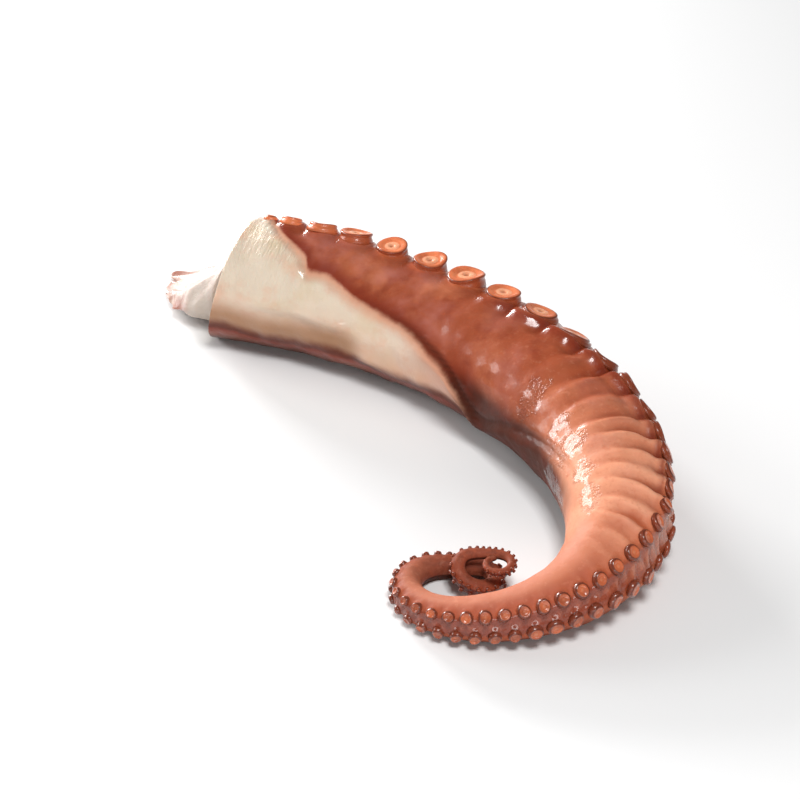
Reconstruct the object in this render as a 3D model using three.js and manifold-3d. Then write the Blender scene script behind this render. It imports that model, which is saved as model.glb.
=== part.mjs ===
// A cooked octopus arm, lying on its side in a long open curl with its tip wound up on itself.
// The thick end is cut across. Millimetres and degrees, Z up, the arm resting on Z = 0.
import * as THREE from 'three';
import Module from 'manifold-3d';

// The whole arm
const ARM_LENGTH = 397;        // along the axis, from the first sucker to the tip
const STUMP = 34;              // how far the flesh runs back past the first sucker, before the cut
const START_X = -53.92;        // where the axis starts in plan
const START_Y = 66.6;
const START_HEADING = -19.24;  // direction of the axis there, from +X towards +Y
const SINK = 0.95;             // height of the axis over the table, in radii: the underside is flat

// Each table pairs a distance along the axis with a value there.
const GIRTH = [[-34, 25.4], [0, 24.5], [28, 23.6], [60, 22.7], [120, 21.8], [160, 20.5], [195, 18.2],
  [215, 14.8], [226, 12.9], [249, 9.4], [270, 7.1], [289, 5.5], [304, 4.5], [318, 3.8], [333, 3.3],
  [350, 2.6], [365, 1.85], [380, 1.35], [397, 1]];         // radius
const BEND = [[0, 1.48], [60, 3.07], [120, 3.09], [170, 6.03], [200, 10.42], [222, 14.96],
  [245, 11.84], [268, 14.09], [288, 32.9], [302, 49.66], [314, 40.79], [326, 6.34], [334, 118.9],
  [342, 89.2], [350, 90.6], [358, 145.7], [366, -3.8], [374, 118.9], [382, 129], [388, 149],
  [397, 100]];                                             // turn to the right, per 10 mm
const LIFT = [[0, 0], [334, 0], [341, 0.5], [346, 1.8], [351, 4], [357, 7.7], [362, 9], [371, 10],
  [384, 10.4], [397, 9.9]];                                // of the wound-up tip, off the table
const ROLL = [[0, 30], [60, 30], [105, 24], [130, 14], [150, 6], [185, 2], [205, 9], [225, 21],
  [250, 18], [300, 8], [345, 0], [397, 0]];                // sucker side, up from level
const ROW_HALF = [[0, 38], [120, 38], [190, 27], [230, 22], [260, 25], [300, 28], [397, 32]];
                                                           // each row, off the middle of that side
const PITCH = [[1, 5], [8, 11.4], [20, 12.9], [40, 14.9], [60, 16.2], [105, 15.4], [140, 13.2],
  [165, 10.4], [185, 7], [215, 6], [240, 5.6], [265, 5.2], [285, 4.5], [300, 3.9], [325, 3],
  [345, 2.4], [370, 1.9], [397, 1.5]];                     // from one sucker of a row to the next
const DISC = [[1, 4.8], [10, 8.2], [25, 11.6], [60, 13.4], [120, 13], [150, 11.6], [175, 9.2],
  [195, 6.4], [215, 5.6], [240, 5.2], [270, 4.2], [300, 3], [325, 2.2], [345, 1.7], [370, 1.2],
  [397, 0.9]];                                             // width of a sucker's disc
const TALL = [[0, 0.5], [10, 0.42], [25, 0.34], [45, 0.29], [70, 0.3], [95, 0.28], [120, 0.24],
  [195, 0.24], [225, 0.28], [255, 0.34], [397, 0.34]];     // height of a sucker, in disc widths
const FOLD = [[0, 0.008], [60, 0.012], [120, 0.025], [150, 0.045], [205, 0.045], [240, 0.02],
  [300, 0.02], [397, 0]];                                  // height of the folds, in radii
const LEAN = [[0, -6], [32, -6], [50, 17], [105, 14], [125, 5], [145, -6], [185, -8], [205, 0],
  [397, 0]];                                               // the upper discs turn towards straight up
const LIP = [[45, 139], [74, 147], [90, 156], [104, 168], [121, 196], [138, 182], [160, 166],
  [184, 152], [220, 128]];                                 // the edge of the web, around the arm
const LIP_HEIGHT = [[45, 0], [75, 1], [100, 1.9], [116, 1.8], [130, 1.2], [200, 0.8], [220, 0]];

const RING_SIDES = 22;
const TIP_SIDES = 12;
const TIP_FROM = 262;
const FIRST_SUCKER = 1;
const LAST_SUCKER = 372;

const rad = THREE.MathUtils.degToRad;
const clamp = THREE.MathUtils.clamp;
const smooth = (x, lo, hi) => THREE.MathUtils.smoothstep(x, lo, hi);

// A smooth curve through a table's points.
function along(table, x) {
  const last = table.length - 1;
  const at = clamp(x, table[0][0], table[last][0]);
  let i = 0;
  while (i < last - 1 && at >= table[i + 1][0]) i += 1;
  const slope = (k) => {
    const a = Math.max(k - 1, 0);
    const b = Math.min(k + 1, last);
    return (table[b][1] - table[a][1]) / (table[b][0] - table[a][0]);
  };
  const span = table[i + 1][0] - table[i][0];
  const t = (at - table[i][0]) / span;
  const rise = table[i + 1][1] - table[i][1];
  const p = slope(i) * span;
  const q = slope(i + 1) * span;
  return table[i][1] + p * t + (3 * rise - 2 * p - q) * t * t + (p + q - 2 * rise) * t * t * t;
}

// The axis, walked out in small steps both ways from the start; behind it the arm bends gently.
const STEP = 0.5;
const BACK_BEND = 5;
function walkFrom(steps, direction) {
  const stops = [];
  let heading = rad(START_HEADING);
  let x = START_X;
  let y = START_Y;
  for (let i = 0; i <= steps; i += 1) {
    const s = direction * i * STEP;
    stops.push({ s, x, y, heading });
    const bend = direction < 0 ? BACK_BEND : along(BEND, s + STEP / 2);
    const turn = -direction * rad(bend / 10 * STEP);
    x += direction * Math.cos(heading + turn / 2) * STEP;
    y += direction * Math.sin(heading + turn / 2) * STEP;
    heading += turn;
  }
  return stops;
}
const behind = walkFrom(Math.round(STUMP / STEP) + 8, -1);
const ahead = walkFrom(Math.round(ARM_LENGTH / STEP) + 2, 1);
const walk = [...behind.slice(1).reverse(), ...ahead];

const radiusAt = (s) => along(GIRTH, s);
const heightAt = (s) => radiusAt(s) * SINK + along(LIFT, s);

// Centre, forward, outward (level, to the sucker side) and upward directions at a distance.
function stationAt(s) {
  const f = clamp((s - walk[0].s) / STEP, 0, walk.length - 1.001);
  const i = Math.floor(f);
  const t = f - i;
  const a = walk[i];
  const b = walk[i + 1];
  const heading = a.heading + (b.heading - a.heading) * t;
  const centre = new THREE.Vector3(a.x + (b.x - a.x) * t, a.y + (b.y - a.y) * t, heightAt(s));
  const climb = s > 338 ? (heightAt(s + 0.5) - heightAt(s - 0.5)) : 0;
  const forward = new THREE.Vector3(Math.cos(heading), Math.sin(heading), climb).normalize();
  const outward = new THREE.Vector3(-Math.sin(heading), Math.cos(heading), 0);
  const upward = new THREE.Vector3().crossVectors(forward, outward);
  return { centre, forward, outward, upward };
}

// Sucker number as a running count along the arm, and the distance at which a count is reached.
const counts = [];
for (let s = FIRST_SUCKER, n = 0; s <= ARM_LENGTH; s += STEP) {
  counts.push({ s, n });
  n += STEP / along(PITCH, s + STEP / 2);
}
function countAt(s) {
  const f = clamp((s - FIRST_SUCKER) / STEP, 0, counts.length - 1.001);
  const i = Math.floor(f);
  return counts[i].n + (counts[i + 1].n - counts[i].n) * (f - i);
}
function distanceAt(n) {
  let i = 0;
  while (i < counts.length - 2 && counts[i + 1].n < n) i += 1;
  return counts[i].s + STEP * (n - counts[i].n) / (counts[i + 1].n - counts[i].n);
}

// How far the skin stands from the axis. The angle is measured up from level, on the sucker side.
function skinAt(s, angle) {
  const girth = radiusAt(s);
  const off = THREE.MathUtils.euclideanModulo(angle - along(ROLL, s) + 180, 360) - 180;
  const side = Math.abs(off);
  const row = along(ROW_HALF, s);
  const phase = countAt(s) + (off > 0 ? 0 : 0.5);
  const flank = smooth(side, row - 24, row + 6) * (1 - smooth(side, row + 30, 125));
  const fold = along(FOLD, s) * flank * Math.cos(2 * Math.PI * phase);
  const groove = -0.05 * Math.exp(-((off / 16) ** 2));
  const past = THREE.MathUtils.euclideanModulo(angle - along(LIP, s) + 180, 360) - 180;
  const lip = along(LIP_HEIGHT, s) * (s > 45 && s < 220 ? 1 : 0);
  const ridge = lip * (Math.exp(-(((past - 6) / 18) ** 2)) - 0.5 * Math.exp(-(((past + 18) / 12) ** 2)));
  return girth * (1 + fold + groove) + ridge;
}
function skinPoint(s, angle, extra = 0) {
  const { centre, outward, upward } = stationAt(s);
  const reach = skinAt(s, angle) + extra;
  return centre.clone()
    .addScaledVector(outward, reach * Math.cos(rad(angle)))
    .addScaledVector(upward, reach * Math.sin(rad(angle)));
}

// One closed mesh from a run of rings, whose counts of points may differ, and two end points.
function loft(rings, head, tail) {
  const points = [];
  const faces = [];
  const first = [];
  for (const ring of rings) {
    first.push(points.length);
    points.push(...ring);
  }
  for (let k = 0; k + 1 < rings.length; k += 1) {
    const n = rings[k].length;
    const m = rings[k + 1].length;
    let i = 0;
    let j = 0;
    while (i < n || j < m) {
      const a = first[k] + (i % n);
      const b = first[k + 1] + (j % m);
      const stepHere = j >= m || (i < n && (i + 0.5) / n <= (j + 0.5) / m);
      if (stepHere) {
        faces.push([a, first[k] + ((i + 1) % n), b]);
        i += 1;
      } else {
        faces.push([a, first[k + 1] + ((j + 1) % m), b]);
        j += 1;
      }
    }
  }
  const close = (ringIndex, tip, forwards) => {
    const at = points.length;
    points.push(tip);
    const n = rings[ringIndex].length;
    for (let i = 0; i < n; i += 1) {
      const a = first[ringIndex] + i;
      const b = first[ringIndex] + ((i + 1) % n);
      faces.push(forwards ? [a, b, at] : [b, a, at]);
    }
  };
  close(0, head, false);
  close(rings.length - 1, tail, true);
  return { points, faces };
}

// The flesh and skin of the arm. Rings fall on the suckers and half way between them.
function armMesh() {
  const rings = [];
  const stops = [];
  for (let s = -STUMP - 1; s < FIRST_SUCKER - 2; s += 7) stops.push(s);
  for (let n = 0; ; n += 0.5) {
    const s = distanceAt(n);
    if (s > ARM_LENGTH - 1.4) break;
    if (n % 1 === 0 || s < 215) stops.push(s);
  }
  for (const s of stops) {
    const sides = s < TIP_FROM ? RING_SIDES : TIP_SIDES;
    const ring = [];
    for (let i = 0; i < sides; i += 1) ring.push(skinPoint(s, 360 * i / sides));
    rings.push(ring);
  }
  const head = stationAt(stops[0]).centre;
  const tail = stationAt(ARM_LENGTH).centre;
  return loft(rings, head, tail);
}

// A sucker: a short stalk with a raised rim around a shallow dish, turned about its own axis.
function suckerMesh(s, upper) {
  const width = along(DISC, s);
  const big = width > 8;
  const sides = big ? 9 : width > 2.6 ? 6 : 5;
  const angle = along(ROLL, s) + (upper ? 1 : -1) * along(ROW_HALF, s);
  const { outward, upward, forward } = stationAt(s);
  const lean = rad(angle + (upper ? 1 : -0.4) * along(LEAN, s));
  const axis = outward.clone().multiplyScalar(Math.cos(lean)).addScaledVector(upward, Math.sin(lean));
  const root = 0.14 * width + 0.5;
  const foot = skinPoint(s, angle, -root);
  const tall = root + along(TALL, s) * width + 0.3;
  const r = width / 2;
  const profile = big
    ? [[0.78 * r, 0], [r, 0.86 * tall], [0.84 * r, tall]]
    : [[0.84 * r, 0], [r, 0.8 * tall], [0.74 * r, tall]];
  const dish = (width > 3 ? 0.82 : 1) * tall;
  if (width < 2.6) profile.splice(1, 1);
  const across = new THREE.Vector3().crossVectors(axis, forward).normalize();
  const ahead = new THREE.Vector3().crossVectors(across, axis).normalize();
  const ringOf = ([reach, up]) => {
    const ring = [];
    for (let i = 0; i < sides; i += 1) {
      const t = 2 * Math.PI * (i + 0.25) / sides;
      ring.push(foot.clone().addScaledVector(axis, up)
        .addScaledVector(ahead, reach * Math.cos(t))
        .addScaledVector(across, -reach * Math.sin(t)));
    }
    return ring;
  };
  return loft(profile.map(ringOf).map((ring) => ring.reverse()), foot,
    foot.clone().addScaledVector(axis, dish));
}

// The flap of web left at the cut end: thick where it leaves the arm, then thin over the table.
const FLAP_FROM = [-60, 73, 18];
const FLAP_TO = [-94, 102, 2.4];
const FLAP_HALF = [19, 12];    // half its width at both ends
const FLAP_SWELL = 12;         // and how much it widens between them
const FLAP_THICK = [17, 1.5];
function flapMesh() {
  const from = new THREE.Vector3(...FLAP_FROM);
  const to = new THREE.Vector3(...FLAP_TO);
  const level = new THREE.Vector3(to.y - from.y, from.x - to.x, 0).normalize();
  const rings = [];
  const steps = 9;
  const sides = 14;
  for (let k = 0; k < steps; k += 1) {
    const t = k / (steps - 1);
    const thin = (1 - t) ** 1.7;
    const end = Math.sqrt(1 - 0.9 * t ** 6);
    const half = (FLAP_HALF[0] + (FLAP_HALF[1] - FLAP_HALF[0]) * t * t + FLAP_SWELL * t * (1 - t)) * end;
    const thick = FLAP_THICK[1] + (FLAP_THICK[0] - FLAP_THICK[1]) * thin;
    const mid = from.clone().lerp(to, t);
    mid.z = FLAP_TO[2] + (FLAP_FROM[2] - FLAP_TO[2]) * thin;
    const ring = [];
    for (let i = 0; i < sides; i += 1) {
      const a = 2 * Math.PI * i / sides;
      const wave = 1 + 0.07 * Math.sin(9 * t + (Math.cos(a) > 0 ? 0 : 2)) * t;
      const p = mid.clone().addScaledVector(level, half * wave * Math.cos(a));
      p.z += thick * Math.sin(a);
      ring.push(p);
    }
    rings.push(ring);
  }
  const tail = to.clone().addScaledVector(to.clone().sub(from).setZ(0).normalize(), 1.5);
  return loft(rings, from, tail);
}

const wasm = await Module();
wasm.setup();
const { Manifold, Mesh } = wasm;

// A closed solid from points and faces, wound so that its skin faces out.
function solid({ points, faces }) {
  const vertProperties = new Float32Array(points.flatMap((p) => [p.x, p.y, p.z]));
  let volume = 0;
  for (const [a, b, c] of faces) {
    volume += points[a].dot(new THREE.Vector3().crossVectors(points[b], points[c]));
  }
  const turned = volume < 0 ? faces.map(([a, b, c]) => [a, c, b]) : faces;
  const triVerts = new Uint32Array(turned.flat());
  return new Manifold(new Mesh({ numProp: 3, vertProperties, triVerts }));
}

// The cut across the thick end leans: it takes more off at the top of the sucker side.
const CUT_THROUGH = [-64, 72, 22];
const CUT_FACES = [0.93, -0.30, -0.25];

let whole = solid(armMesh());
const facing = new THREE.Vector3(...CUT_FACES).normalize();
whole = whole.trimByPlane([facing.x, facing.y, facing.z], facing.dot(new THREE.Vector3(...CUT_THROUGH)));
whole = whole.add(solid(flapMesh()));
const suckers = [];
for (let n = 0; ; n += 0.5) {
  const s = distanceAt(n);
  if (s > LAST_SUCKER) break;
  suckers.push(solid(suckerMesh(s, n % 1 === 0)));
}
for (let i = 0; i < suckers.length; i += 1) whole = whole.add(suckers[i]);
whole = whole.trimByPlane([0, 0, 1], 0);

// The origin goes to the middle of the footprint box, on the table.
const box = whole.boundingBox();
whole = whole.translate([-(box.min[0] + box.max[0]) / 2, -(box.min[1] + box.max[1]) / 2, 0]);

const mesh = whole.getMesh();
const geometry = new THREE.BufferGeometry();
geometry.setAttribute('position', new THREE.BufferAttribute(Float32Array.from(mesh.vertProperties), 3));
geometry.setIndex([...mesh.triVerts]);
const skin = new THREE.MeshStandardMaterial({ color: '#b0664d', roughness: 0.42, metalness: 0 });
const arm = new THREE.Mesh(geometry, skin);
arm.name = 'octopus_arm';
const part = new THREE.Group();
part.name = 'cooked_octopus_arm';
part.add(arm);
export default part;
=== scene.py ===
# %% [markdown]
# # A cooked octopus arm
# This lesson dresses one boiled octopus arm. It lies on its side in a long open curl, with its
# tip wound up on itself. The thick end is cut across, so pale flesh shows there and along the
# side where the web was trimmed away, and two rows of suckers run the whole length.
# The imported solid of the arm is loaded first. It gives the frame that every piece is fitted to.

# %% Load the frame
import math
from types import SimpleNamespace

import bmesh
import bpy
import numpy as np
from mathutils import Matrix, Vector


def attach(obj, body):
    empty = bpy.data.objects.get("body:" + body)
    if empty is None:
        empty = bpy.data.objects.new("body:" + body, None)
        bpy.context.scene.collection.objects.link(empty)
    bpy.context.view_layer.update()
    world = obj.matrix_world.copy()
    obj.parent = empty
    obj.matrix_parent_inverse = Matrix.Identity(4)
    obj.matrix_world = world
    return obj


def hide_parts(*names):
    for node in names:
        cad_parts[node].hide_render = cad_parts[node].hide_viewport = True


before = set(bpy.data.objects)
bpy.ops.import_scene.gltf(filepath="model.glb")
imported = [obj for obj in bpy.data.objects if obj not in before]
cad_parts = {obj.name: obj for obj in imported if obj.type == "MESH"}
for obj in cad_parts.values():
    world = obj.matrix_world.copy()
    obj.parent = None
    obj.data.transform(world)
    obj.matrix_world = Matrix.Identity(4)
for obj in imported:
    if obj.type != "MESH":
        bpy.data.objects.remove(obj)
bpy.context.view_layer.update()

# %% [markdown]
# ## The curves that drive the arm
# A soft thing like this has no straight edges to measure, so it is described by a few curves.
# Each table pairs a distance along the axis with a value there: how thick the arm is, how hard
# it bends, how big the suckers are. They are in millimetres and degrees, and most of them are the
# same numbers that the solid was built from. A drawn curve object could carry the bend as well,
# but tables keep the thickness, the suckers and the skin in step with each other. Each table is
# given where it is first needed.

# %% Read a table
def along(table, x):
    """A smooth curve through a table's points, at one distance or an array of them."""
    at, value = np.array(table, float).T
    slope = np.gradient(value)
    slope[1:-1] = (value[2:] - value[:-2]) / (at[2:] - at[:-2])
    slope[0] = (value[1] - value[0]) / (at[1] - at[0])
    slope[-1] = (value[-1] - value[-2]) / (at[-1] - at[-2])
    x = np.clip(x, at[0], at[-1])
    i = np.clip(np.searchsorted(at, x, side="right") - 1, 0, len(at) - 2)
    span = at[i + 1] - at[i]
    t = (x - at[i]) / span
    rise = value[i + 1] - value[i]
    p, q = slope[i] * span, slope[i + 1] * span
    return value[i] + p * t + (3 * rise - 2 * p - q) * t ** 2 + (p + q - 2 * rise) * t ** 3


def smooth(x, low, high):
    """0 below low, 1 above high, and an easy S between them."""
    t = np.clip((x - low) / (high - low), 0, 1)
    return t * t * (3 - 2 * t)


def turned(angle):
    """An angle brought to between -180 and 180 degrees."""
    return (angle + 180) % 360 - 180


ARM_LENGTH = 397  # along the axis, from the first sucker to the tip

# distance, half the thickness of the arm
GIRTH = [(-34, 25.4), (0, 24.5), (28, 23.6), (60, 22.7), (120, 21.8), (160, 20.5), (195, 18.2),
         (215, 14.8), (226, 12.9), (249, 9.4), (270, 7.1), (289, 5.5), (304, 4.5), (318, 3.8),
         (333, 3.3), (350, 2.6), (365, 1.85), (380, 1.35), (397, 1)]

print("girth at 0, 200 and 350 mm:", along(GIRTH, np.array([0, 200, 350])))

# %% [markdown]
# ## The axis
# The arm lies along a plane curve whose bend is known at every point. Walking it out in half
# millimetre steps turns the bends into places and headings. Every piece is then modelled along a
# straight line and laid on this axis, which is far easier than modelling it curled up. The solid
# was moved to the middle of its footprint when it was done, and `SHIFT` moves the axis in the
# same way.

# %% Walk out the axis
STEP = 0.5
SHIFT = (2.238, 6.611)
START = (SHIFT[0] - 53.92, SHIFT[1] + 66.6)  # the axis beside the first sucker
START_HEADING = -19.24
STUMP = 40  # how far the axis is carried on behind the first sucker
BACK_BEND = 5  # its bend there, in degrees to the centimetre

# distance, bend in degrees to the centimetre
BEND = [(0, 1.48), (60, 3.07), (120, 3.09), (170, 6.03), (200, 10.42), (222, 14.96), (245, 11.84),
        (268, 14.09), (288, 32.9), (302, 49.66), (314, 40.79), (326, 6.34), (334, 118.9),
        (342, 89.2), (350, 90.6), (358, 145.7), (366, -3.8), (374, 118.9), (382, 129), (388, 149),
        (397, 100)]


def walk_axis():
    """Distances, plan positions and headings along the axis, from behind the cut to the tip."""
    ahead = np.arange(0, ARM_LENGTH + 2, STEP)
    turn = -np.radians(along(BEND, ahead + STEP / 2) / 10 * STEP)
    heading = math.radians(START_HEADING) + np.concatenate([[0], np.cumsum(turn)[:-1]])
    x = START[0] + np.concatenate([[0], np.cumsum(np.cos(heading + turn / 2) * STEP)[:-1]])
    y = START[1] + np.concatenate([[0], np.cumsum(np.sin(heading + turn / 2) * STEP)[:-1]])
    back = np.arange(STEP, STUMP, STEP)
    back_turn = math.radians(BACK_BEND / 10 * STEP)
    back_heading = math.radians(START_HEADING) + back / STEP * back_turn
    bx = START[0] - np.cumsum(np.cos(back_heading - back_turn / 2) * STEP)
    by = START[1] - np.cumsum(np.sin(back_heading - back_turn / 2) * STEP)
    return (np.concatenate([-back[::-1], ahead]), np.concatenate([bx[::-1], x]),
            np.concatenate([by[::-1], y]), np.concatenate([back_heading[::-1], heading]))


AXIS = walk_axis()
print("axis walked out in", len(AXIS[0]), "steps")

# %% [markdown]
# The arm lies on the table with its own weight, so its axis is a little less than half its
# thickness up. Only the wound-up tip climbs, over the turn that it lies on. A station is a place
# on the axis with three directions, and all that stands on the arm is placed by one.

# %% Stations on the axis
SINK = 0.95  # height of the axis over the table, in half thicknesses
CLIMB_FROM = 338

# distance, extra height of the axis
LIFT = [(0, 0), (334, 0), (341, 0.5), (346, 1.8), (351, 4), (357, 7.7), (362, 9), (371, 10),
        (384, 10.4), (397, 9.9)]


def height_at(s):
    """Height of the axis over the table: the underside rests, and the wound-up tip climbs."""
    return along(GIRTH, s) * SINK + along(LIFT, s)


def station(s):
    """Centre, forward, outward (level, to the sucker side) and upward at distances s."""
    s = np.atleast_1d(np.asarray(s, float))
    heading = np.interp(s, AXIS[0], AXIS[3])
    centre = np.stack([np.interp(s, AXIS[0], AXIS[1]), np.interp(s, AXIS[0], AXIS[2]),
                       height_at(s)], 1)
    climb = np.where(s > CLIMB_FROM, height_at(s + 0.5) - height_at(s - 0.5), 0)
    forward = np.stack([np.cos(heading), np.sin(heading), climb], 1)
    forward /= np.linalg.norm(forward, axis=1)[:, None]
    outward = np.stack([-np.sin(heading), np.cos(heading), np.zeros_like(s)], 1)
    return centre, forward, outward, np.cross(forward, outward)


print("tip of the axis at", station(ARM_LENGTH)[0].round(1))

# %% [markdown]
# ## Where the suckers sit
# Suckers are packed by size: big ones far apart at the thick end, tiny ones crowded at the tip.
# Counting them along the arm gives one running number. Whole numbers are suckers of the upper
# row and halves are those of the lower row, so that the rows alternate as they do in life. The
# skin uses the same count for its folds, because each fold hangs from a sucker.
# Angles around the arm are measured up from level on the sucker side.

# %% Count the suckers
FIRST_SUCKER, LAST_SUCKER = 1, 388

# distance, angle that the sucker side faces
ROLL = [(0, 30), (60, 30), (105, 24), (130, 14), (150, 6), (185, 2), (205, 9), (225, 21), (250, 18),
        (300, 8), (345, 0), (397, 0)]
# distance, angle from there to either row
ROW_HALF = [(0, 38), (120, 38), (190, 27), (230, 22), (260, 25), (300, 28), (397, 32)]
# distance, from one sucker of a row to the next
PITCH = [(1, 5), (8, 11.4), (20, 12.9), (40, 14.9), (60, 16.2), (105, 15.4), (140, 13.2), (165, 10.4),
         (185, 7), (215, 6), (240, 5.6), (265, 5.2), (285, 4.5), (300, 3.9), (325, 3), (345, 2.4),
         (370, 1.9), (397, 1.5)]
# distance, width of a sucker
DISC = [(1, 4.8), (10, 8.2), (25, 11.6), (60, 13.4), (120, 13), (150, 11.6), (175, 9.2), (195, 6.4),
        (215, 5.6), (240, 5.2), (270, 4.2), (300, 3), (325, 2.2), (345, 1.7), (370, 1.2), (397, 0.9)]
COUNT_S = np.arange(FIRST_SUCKER, ARM_LENGTH + STEP, STEP)
COUNT_N = np.concatenate([[0], np.cumsum(STEP / along(PITCH, COUNT_S + STEP / 2))[:-1]])


def count_at(s):
    """The running sucker count at distance s, carried on behind the first sucker."""
    behind = np.minimum(np.asarray(s, float) - FIRST_SUCKER, 0) / PITCH[0][1]
    return np.interp(s, COUNT_S, COUNT_N) + behind


# distance, and whether it is of the upper row
SUCKERS = [(float(np.interp(n / 2, COUNT_N, COUNT_S)), n % 2 == 0)
           for n in range(int(2 * COUNT_N[-1])) if np.interp(n / 2, COUNT_N, COUNT_S) <= LAST_SUCKER]
print(len(SUCKERS), "suckers in two rows")

# %% [markdown]
# ## The skin's relief
# On the real arm the skin stands in soft pillars under the suckers, with narrow creases between
# them. It swells into a mound around each sucker's foot, dips along the middle of the sucker
# side, and ends in the rolled edge of the web, with a crease beside it that the finish darkens
# with painted shade. A sculpted mesh could carry this, but functions of distance and angle keep
# every form tied to its sucker. Sums of seeded sine waves add the unevenness that keeps it from
# looking turned on a lathe.

# %% Soft random bumps
def lumps(points, size, seed, waves=26):
    """Soft random bumps about `size` across, mostly between -1 and 1, at rows of points."""
    rng = np.random.default_rng(seed)
    way = rng.normal(size=(waves, points.shape[1]))
    way /= np.linalg.norm(way, axis=1)[:, None]
    way *= rng.uniform(0.6, 1.5, waves)[:, None] * math.pi / size
    return np.sin(points @ way.T + rng.uniform(0, 2 * math.pi, waves)).sum(1) / math.sqrt(waves)


THICK_ARM = 22  # half thickness at which bumps have their full size


def places(s, angle):
    """Where points of the skin lie against the arm and its rows of suckers."""
    at = SimpleNamespace(s=s, angle=angle, girth=along(GIRTH, s), row=along(ROW_HALF, s))
    at.off = turned(angle - along(ROLL, s))
    at.side = np.abs(at.off)
    at.disc = along(DISC, s)
    at.scale = np.clip(at.girth / THICK_ARM, 0.06, 1)
    flat = np.stack([s / at.scale, np.radians(angle) * THICK_ARM], 1)
    at.uneven = np.clip(0.75 + 0.35 * lumps(flat, 24, 12), 0.15, 1.3)
    wander = 0.07 * lumps(flat, 16, 3)
    wander += 0.12 * lumps(flat, 30, 4) * smooth(at.side, at.row + 20, at.row + 80)
    at.phase = count_at(s) + np.where(at.off > 0, 0, 0.5) + wander * smooth(at.side, at.row, at.row + 30)
    ahead = (at.phase - np.round(at.phase)) * along(PITCH, s)
    at.near = np.hypot(ahead, np.radians(at.side - at.row) * at.girth)
    at.around = np.stack([s, np.cos(np.radians(angle)) * at.girth,
                          np.sin(np.radians(angle)) * at.girth], 1)
    return at


print("sucker nearest to 60 mm, upper row:",
      round(places(np.array([60.0]), np.array([68.0])).near[0], 1), "mm away")

# %% [markdown]
# The folds run from the suckers round the arm's flank, strongest where the bend squeezes them.
# `wave` is high at a sucker and low half way to the next. From the bend on, a second, quicker
# wave joins it, because the skin there gathers into more folds than there are suckers.

# %% Folds that hang from the suckers
# distance, height of the folds in half thicknesses
FOLD = [(-20, 0.002), (60, 0.004), (100, 0.01), (130, 0.03), (160, 0.042), (205, 0.036), (240, 0.008),
        (300, 0.01), (397, 0)]
# distance, depth of the creases
GROOVE = [(-20, 0.3), (80, 0.4), (125, 0.9), (160, 1), (205, 0.8), (235, 0.25), (300, 0.2), (397, 0.2)]
# distance, how far round the arm the folds run, in degrees past the row
FOLD_RUN = [(-20, 30), (90, 36), (130, 84), (160, 112), (205, 104), (240, 60), (300, 50), (397, 50)]


def between_suckers(at, width):
    """1 half way between two suckers of a row, falling off to both sides."""
    return np.exp(-((at.phase - np.floor(at.phase) - 0.5) / width) ** 2)


def folds(at):
    """The folds' height in half thicknesses, and masks of their creases and valleys for painted shade."""
    start = smooth(at.side, at.row - 24, at.row + 6)
    flank = start * (1 - smooth(at.side, at.row + 12, at.row + along(FOLD_RUN, at.s)))
    wave = np.cos(2 * np.pi * at.phase)
    wave = wave + 0.4 * smooth(at.s, 140, 165) * np.cos(4 * np.pi * at.phase + 1)
    height = along(FOLD, at.s) * flank * at.uneven * wave
    crease = between_suckers(at, 0.13) * flank * at.uneven * along(GROOVE, at.s)
    valley = flank * np.clip(at.uneven, 0, 1) * np.clip(0.5 - 0.5 * wave, 0, 1)
    return height, crease, valley * smooth(at.s, 105, 135)


print("deepest crease past the bend:",
      round(folds(places(np.linspace(150, 200, 251), np.full(251, 80.0)))[1].max(), 2))

# %% [markdown]
# On the sucker side the skin dips along the middle and between the suckers, is drawn into thin
# pleats that cross from one row to the other, and swells into a mound with a soft collar at the
# foot of every sucker.

# %% The sucker side
# distance, height of the pleats in half thicknesses
PLEAT = [(90, 0), (130, 0.03), (200, 0.05), (300, 0.05), (397, 0.03)]
# distance, height of the mounds in sucker widths
MOUND = [(0, 0.2), (10, 0.22), (25, 0.2), (45, 0.14), (90, 0.13), (115, 0.2), (195, 0.19),
         (225, 0.13), (397, 0.13)]
# distance, height of the collars in sucker widths
COLLAR = [(0, 0.02), (90, 0.02), (112, 0.14), (190, 0.13), (208, 0), (397, 0)]


def recesses(at):
    """A mask of the hollows between the suckers of the upper row, where the finish paints shade."""
    hollow = between_suckers(at, 0.2) * np.exp(-((at.side - at.row - 12) / 13) ** 2)
    return hollow * smooth(at.s, 95, 118) * (1 - smooth(at.s, 198, 212)) * (at.off > 0)


def pleats(at):
    """A mask of thin lines that slant across from sucker to sucker."""
    lean = np.clip((at.row - at.off) / (4 * at.row), -0.1, 0.6)
    count = count_at(at.s)
    to_line = np.minimum(np.abs(turned(360 * (count - lean))), np.abs(turned(360 * (count + lean))))
    lines = np.exp(-(to_line / 360 / 0.13) ** 2) * (1 - smooth(at.side, at.row * 0.75, at.row + 4))
    return lines * (1 - np.exp(-(at.near / (0.72 * at.disc)) ** 4))


def feet(at):
    """Millimetres that the skin swells around the suckers' feet."""
    mound = along(MOUND, at.s) * at.disc * np.exp(-(at.near / (0.7 * at.disc)) ** 5)
    mound += along(COLLAR, at.s) * at.disc * np.exp(-((at.near / at.disc - 0.6) / 0.18) ** 2)
    return mound * smooth(at.s, -6, -1)


print("swelling at a foot:", feet(places(np.array([60.0]), np.array([68.0]))).round(2), "mm")

# %% [markdown]
# The web used to join this arm to the next. Its trimmed edge is a rolled lip along the inside of
# the bend, with a fine line of painted shade under it, and the side past it gets painted shade too.
# Before the bend the knife bared the flesh between that edge and the table: the skin ends there in
# a low step, and the flesh has its own soft lumps and a ledge.

# %% The web's edge and the bared flesh
# distance, angle of the rolled edge
LIP = [(45, 139), (74, 147), (90, 156), (104, 168), (121, 196), (138, 182), (160, 166), (184, 152),
       (220, 128)]
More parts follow.
